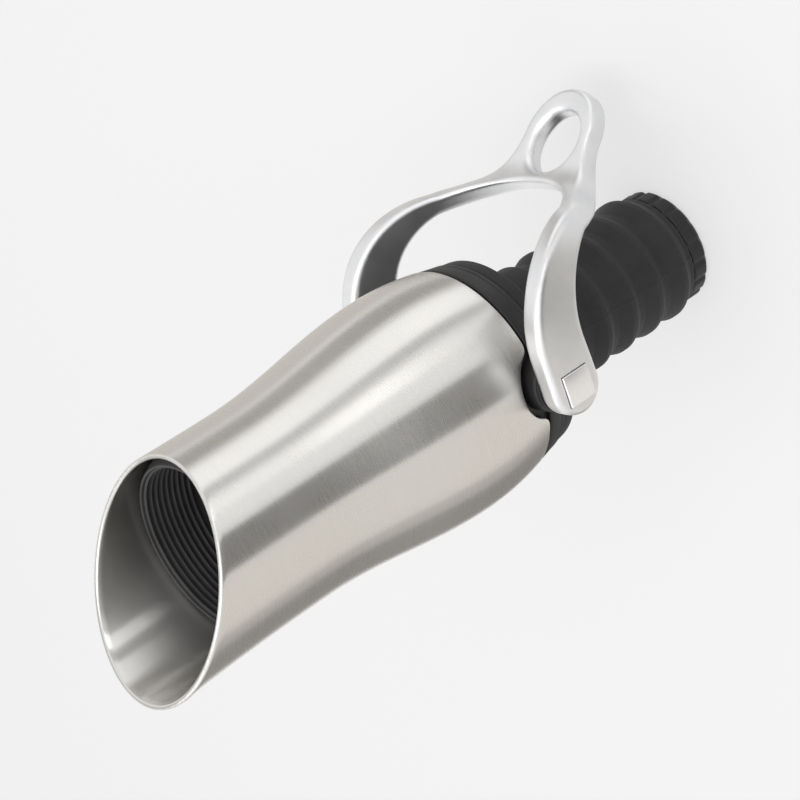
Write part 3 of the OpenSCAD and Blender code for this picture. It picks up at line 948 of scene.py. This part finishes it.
def look_up(table, lo, step, u, v):
    """Bilinear value of a table at (u, v), held at its edge beyond it."""
    last = np.array(table.shape) - 1.001
    a = np.clip((u - lo[0]) / step, 0, last[0])
    b = np.clip((v - lo[1]) / step, 0, last[1])
    i, j = a.astype(int), b.astype(int)
    a, b = a - i, b - j
    return (
        table[i, j] * (1 - a) * (1 - b)
        + table[i + 1, j] * a * (1 - b)
        + table[i, j + 1] * (1 - a) * b
        + table[i + 1, j + 1] * a * b
    )


def surface_net(values, lo, step):
    """Quads on the zero surface of a grid of values, with one vertex in each cell that it crosses."""
    cells = np.array(values.shape) - 1
    sums, counts, quads = np.zeros((cells.prod(), 3)), np.zeros(cells.prod()), []
    for axis in range(3):
        start = [slice(None)] * 3
        end = [slice(None)] * 3
        start[axis], end[axis] = slice(0, -1), slice(1, None)
        a, b = values[tuple(start)], values[tuple(end)]
        crossed = (a < 0) != (b < 0)
        at = np.argwhere(crossed)
        where = at.astype(float)
        where[:, axis] += a[crossed] / (a[crossed] - b[crossed])
        ring = []
        for step_u, step_v in ((0, 0), (1, 0), (1, 1), (0, 1)):
            cell = at.copy()
            cell[:, (axis + 1) % 3] -= step_u
            cell[:, (axis + 2) % 3] -= step_v
            flat = np.ravel_multi_index(cell.T, cells)
            np.add.at(sums, flat, where)
            np.add.at(counts, flat, 1)
            ring.append(flat)
        quads.append(np.stack(ring, axis=1))
    used = np.flatnonzero(counts)
    number = np.zeros(len(counts), int)
    number[used] = np.arange(len(used))
    return lo + step * sums[used] / counts[used, None], number[np.concatenate(quads)]


def wishbone_shape():
    """The lever as its side outline and its wishbone outline share it, with every edge rounded."""
    fine, coarse = 0.1, 0.3
    side_lo, side_hi = (-8.0, -33.0), (33.0, 14.0)
    flat_lo, flat_hi = (-12.0, -26.0), (LEVER_L + 5.0, 26.0)
    grid_lo, grid_hi = np.array((-5.13, -22.6, -29.17)), np.array((29.0, 22.6, 10.6))
    side = distance_table(lever_side(), side_lo, side_hi, fine)
    flat = distance_table(wishbone_outline(), flat_lo, flat_hi, fine)
    arch = distance_table(oval(0, ARCH_APEX, ARCH_IN, ARCH_POWER), flat_lo, flat_hi, fine)
    hole = distance_table(oval(HOLE_C, HOLE_L / 2, HOLE_W / 2, 2), flat_lo, flat_hi, fine)
    flat = np.maximum(flat, -arch)

    def rounded(a, b, radius):
        """Signed distance to what two shapes share, with the edge between them rounded."""
        a, b = a + radius, b + radius
        return np.minimum(np.maximum(a, b), 0) + np.hypot(np.maximum(a, 0), np.maximum(b, 0)) - radius

    def field(p):
        """Signed distance to the lever, near enough."""
        x, y, z = p[..., 0], p[..., 1], p[..., 2]
        reach = x * math.cos(LEAN) - (z - PIVOT_Z) * math.sin(LEAN)
        depth = look_up(side, side_lo, fine, x, z)
        plate = rounded(depth, look_up(flat, flat_lo, fine, reach, y), LEVER_ROUND)
        return np.maximum(plate, rounded(depth, -look_up(hole, flat_lo, fine, reach, y), HOLE_ROUND))

    def settle(verts, rounds=3, near=0.05, flattest=0.2):
        """Moves vertices on to the surface, down the field's slope."""
        for _ in range(rounds):
            value = field(verts)
            steps = np.eye(3) * near
            slope = np.stack([(field(verts + d) - field(verts - d)) / (2 * near) for d in steps], axis=-1)
            size = np.maximum((slope**2).sum(-1), flattest)
            verts = verts - (value / size)[:, None] * slope
        return verts

    axes = [np.arange(a, b, coarse) for a, b in zip(grid_lo, grid_hi)]
    values = field(np.stack(np.meshgrid(*axes, indexing="ij"), axis=-1))
    verts, quads = surface_net(values, grid_lo, coarse)
    verts = settle(verts)
    passes, ease = 4, 0.5
    for _ in range(passes):
        sums, counts = np.zeros_like(verts), np.zeros(len(verts))
        for k in range(4):
            np.add.at(sums, quads[:, k], verts[quads[:, (k + 1) % 4]] + verts[quads[:, k - 1]])
            np.add.at(counts, quads[:, k], 2)
        verts = settle(verts + ease * (sums / counts[:, None] - verts))
    return verts, quads


EYE_HALF = DRIVE_SIDE / 2 + CLEAR
eye_lo = (-EYE_HALF, ARM_IN - 2 * PAST, PIVOT_Z - EYE_HALF)
eye_hi = (EYE_HALF, ARM_OUT + 2 * PAST, PIVOT_Z + EYE_HALF)
eye_hole = rounded_box(eye_lo, eye_hi, 0.15)
wishbone = mesh_of("wishbone", wishbone_shape())
combine(wishbone, "DIFFERENCE", eye_hole, on_side(eye_hole, -1))
fit(wishbone, SATIN, "lever_set", "satin_metal", "lever")


# Spindles and washers


def spindle(name, side):
    """Square head, grooved journal and tang of one spindle, as one mesh."""
    ring, root = (CAVITY_R + BOSS_FACE) / 2, JOURNAL_R - SMALL_GROOVE
    foot, top = BALL_R + CLEAR, ARM_IN + CLEAR
    journal = fillet(
        [
            (0, foot, 0),
            (JOURNAL_R, foot, 0.1),
            (JOURNAL_R, ring - SMALL_GROOVE_HALF, 0.05),
            (root, ring - SMALL_GROOVE_HALF, 0.05),
            (root, ring + SMALL_GROOVE_HALF, 0.05),
            (JOURNAL_R, ring + SMALL_GROOVE_HALF, 0.05),
            (JOURNAL_R, top, 0),
            (0, top, 0),
        ]
    )
    half, tang = DRIVE_SIDE / 2, TANG_HALF
    head = rounded_box((-half, ARM_IN, PIVOT_Z - half), (half, SPINDLE_END, PIVOT_Z + half), 0.12)
    key = rounded_box((-tang, TANG_END, PIVOT_Z - tang), (tang, foot + CLEAR, PIVOT_Z + tang), 0.1)
    verts, faces = turned(journal, SMALL_TURN)
    made = mesh_of(name, on_side(head, side))
    combine(made, "UNION", on_side((along_y(verts, 1), faces), side))
    combine(made, "UNION", on_side(key, side))
    return made


def washer_shape(side):
    """The disc between a boss and its lever arm."""
    inner, outer = JOURNAL_R + CLEAR, BOSS_R - CLEAR
    foot, top, edge = BOSS_FACE + GAP, ARM_IN - GAP, 0.08
    profile = fillet([(inner, foot, edge), (outer, foot, edge), (outer, top, edge), (inner, top, edge)])
    verts, faces = revolve(profile, BOSS_TURN)
    return on_side((along_y(verts, 1), faces), side)


for side, word in ((-1, "left"), (1, "right")):
    fit(spindle(f"{word}_square", side), SPINDLE, "lever_set", "spindle_steel", f"{word}_spindle")
    fit(mesh_of(f"{word}_disc", washer_shape(side)), BLACK, "pourer", "black_plastic", f"{word}_washer")

INNER = {
    "valve_ball": CHROME,
    "front_seat": SEAT,
    "rear_seat": SEAT,
    "liner_o_ring": SEAL,
    "sleeve_o_ring": SEAL,
    "stem_o_ring": SEAL,
    "left_spindle_o_ring": SEAL,
    "right_spindle_o_ring": SEAL,
}
for name, look in INNER.items():
    solid = frame["nodes"][name]
    solid.data.materials.clear()
    solid.data.materials.append(look)


# Floor, light and camera

# Half the floor's side in millimetres, its share of white where it is seen, and the world's light
FLOOR_HALF, FLOOR_LIFT, WORLD_LIGHT = 20000, 0.6, 0.45

# The cards: height just over the floor, reach from the axis and colours
CARD_Z, CARD_STEPS = STEM_FOOT + 0.4, 24
CARD_NEAR, CARD_FAR, FADE = 40, 700, (48, 82)
WARM, PLAIN = (1.0, 0.96, 0.90), (1.0, 1.0, 1.0)

# Lamps and camera, in metres
LAMP_AIM = Vector((0, 0, 0.02))
EYE = Vector((0.1665, -0.3476, 0.2416))
AIM = Vector((0.00241, -0.00019, 0.01814))
UPWARD = Vector((0.8069, 0.2250, -0.5461))


def seen(tree):
    """1 for what the camera sees, directly, mirrored or through something clear, and 0 for lighting."""
    rays = node(tree, "ShaderNodeLightPath").outputs
    either = total(tree, rays["Is Camera Ray"], rays["Is Glossy Ray"], "MAXIMUM")
    return total(tree, either, rays["Is Transmission Ray"], "MAXIMUM")


def floor_material():
    """Pale and plain: a lit floor that is lifted towards white where it is seen, and keeps its shadows."""
    made, tree, shader = material("pale_floor")
    cloud = noise(tree, place(tree), scale=3.0, detail=2.0)
    finish_with(
        tree,
        shader,
        Base_Color=tint(tree, cloud, (0.3, (0.89, 0.89, 0.89)), (0.7, (0.91, 0.91, 0.91))),
        Roughness=0.9,
        Specular_IOR_Level=0.0,
    )
    white = node(tree, "ShaderNodeEmission", {"Strength": 1.0})
    share = total(tree, seen(tree), FLOOR_LIFT, "MULTIPLY")
    shaders = {0: share, 1: shader.outputs["BSDF"], 2: white.outputs["Emission"]}
    mixed = node(tree, "ShaderNodeMixShader", shaders)
    tree.links.new(mixed.outputs["Shader"], tree.nodes["Material Output"].inputs["Surface"])
    return made


ways = ((-1, -1), (1, -1), (1, 1), (-1, 1))
floor_corners = [(x * FLOOR_HALF, y * FLOOR_HALF, STEM_FOOT) for x, y in ways]
floor = mesh_of("floor", (floor_corners, [(0, 1, 2, 3)]))
floor.data.materials.append(floor_material())


ON_FLOOR = ((CARD_NEAR, CARD_Z), (CARD_FAR, CARD_Z))


def card(name, first, last, colour, level, inner=None, edges=ON_FLOOR):
    """A studio card round the object, from one bearing to another, that only reflections see.

    Its two edges are given as (distance from the axis, height). Its level can change with the distance
    from the axis, from the inner one at FADE's start to its own at FADE's end.
    """
    bearings = np.radians(np.linspace(first, last, CARD_STEPS))
    verts = [(r * math.cos(a), r * math.sin(a), z) for r, z in edges for a in bearings]
    faces = [(i, i + 1, i + 1 + CARD_STEPS, i + CARD_STEPS) for i in range(CARD_STEPS - 1)]
    obj = mesh_of(name, (verts, faces))
    made, tree, shader = material(name)
    finish_with(tree, shader, Base_Color=(0, 0, 0, 1), Specular_IOR_Level=0.0, Emission_Color=(*colour, 1))
    if inner is not None:
        flat = node(tree, "ShaderNodeVectorMath", {0: place(tree), 1: (1, 1, 0)}, operation="MULTIPLY")
        reach = node(tree, "ShaderNodeVectorMath", {0: flat.outputs["Vector"]}, operation="LENGTH")
        level = spread(tree, reach.outputs["Value"], inner, level, FADE[0] * MM, FADE[1] * MM)
    finish_with(tree, shader, Emission_Strength=level)
    obj.data.materials.append(made)
    obj.visible_camera = obj.visible_diffuse = obj.visible_shadow = False
    obj.visible_transmission = obj.visible_volume_scatter = False


card("dark_card", -99, -64, WARM, 0.12, inner=0.62, edges=((15, CARD_Z), (CARD_FAR, CARD_Z)))
card("white_card", -57, -29, PLAIN, 1.02)
card("lip_card", -43, -28, PLAIN, 2.9, edges=((420, -30), (420, 60)))
card("grey_card", -23, -14, PLAIN, 0.60)
card("bright_card", -12, 14, PLAIN, 1.32)
card("low_card", 20, 42, WARM, 0.44)
card("pale_card", 50, 104, WARM, 0.70)
card("edge_card", 112, 146, PLAIN, 1.3)
card("deep_card", 147, 190, WARM, 0.30)
card("shade_card", 190, 204, WARM, 0.56)
card("warm_card", 204, 258, WARM, 0.86)


def lamp(name, place_at, size, power):
    """A square soft lamp that faces the object, in metres and watts."""
    data = bpy.data.lights.new(name, "AREA")
    data.shape = "SQUARE"
    data.size = size
    data.energy = power
    obj = bpy.data.objects.new(name, data)
    bpy.context.scene.collection.objects.link(obj)
    obj.location = place_at
    obj.rotation_mode = "QUATERNION"
    obj.rotation_quaternion = (LAMP_AIM - Vector(place_at)).to_track_quat("-Z", "Y")


lamp("key", (0.25, -0.45, 0.75), 0.75, 2.7)
lamp("top", (-0.2, 0.1, 0.9), 0.9, 2.4)

world = bpy.data.worlds.new("studio")
bpy.context.scene.world = world
world.use_nodes = True
sky = world.node_tree
strength = node(sky, "ShaderNodeMapRange", {"Value": seen(sky), "To Min": WORLD_LIGHT, "To Max": 1.0})
sky.links.new(strength.outputs["Result"], sky.nodes["Background"].inputs["Strength"])
sky.nodes["Background"].inputs["Color"].default_value = (1, 1, 1, 1)

back = (EYE - AIM).normalized()
right = UPWARD.cross(back).normalized()
camera = bpy.data.objects.new("camera", bpy.data.cameras.new("camera"))
camera.data.sensor_width = 36
camera.data.lens = 150
camera.data.clip_start, camera.data.clip_end = 0.01, 60
bpy.context.scene.collection.objects.link(camera)
camera.matrix_world = Matrix.Translation(EYE) @ Matrix((right, back.cross(right), back)).transposed().to_4x4()
bpy.context.scene.camera = camera

bpy.context.scene.view_settings.view_transform = "Standard"
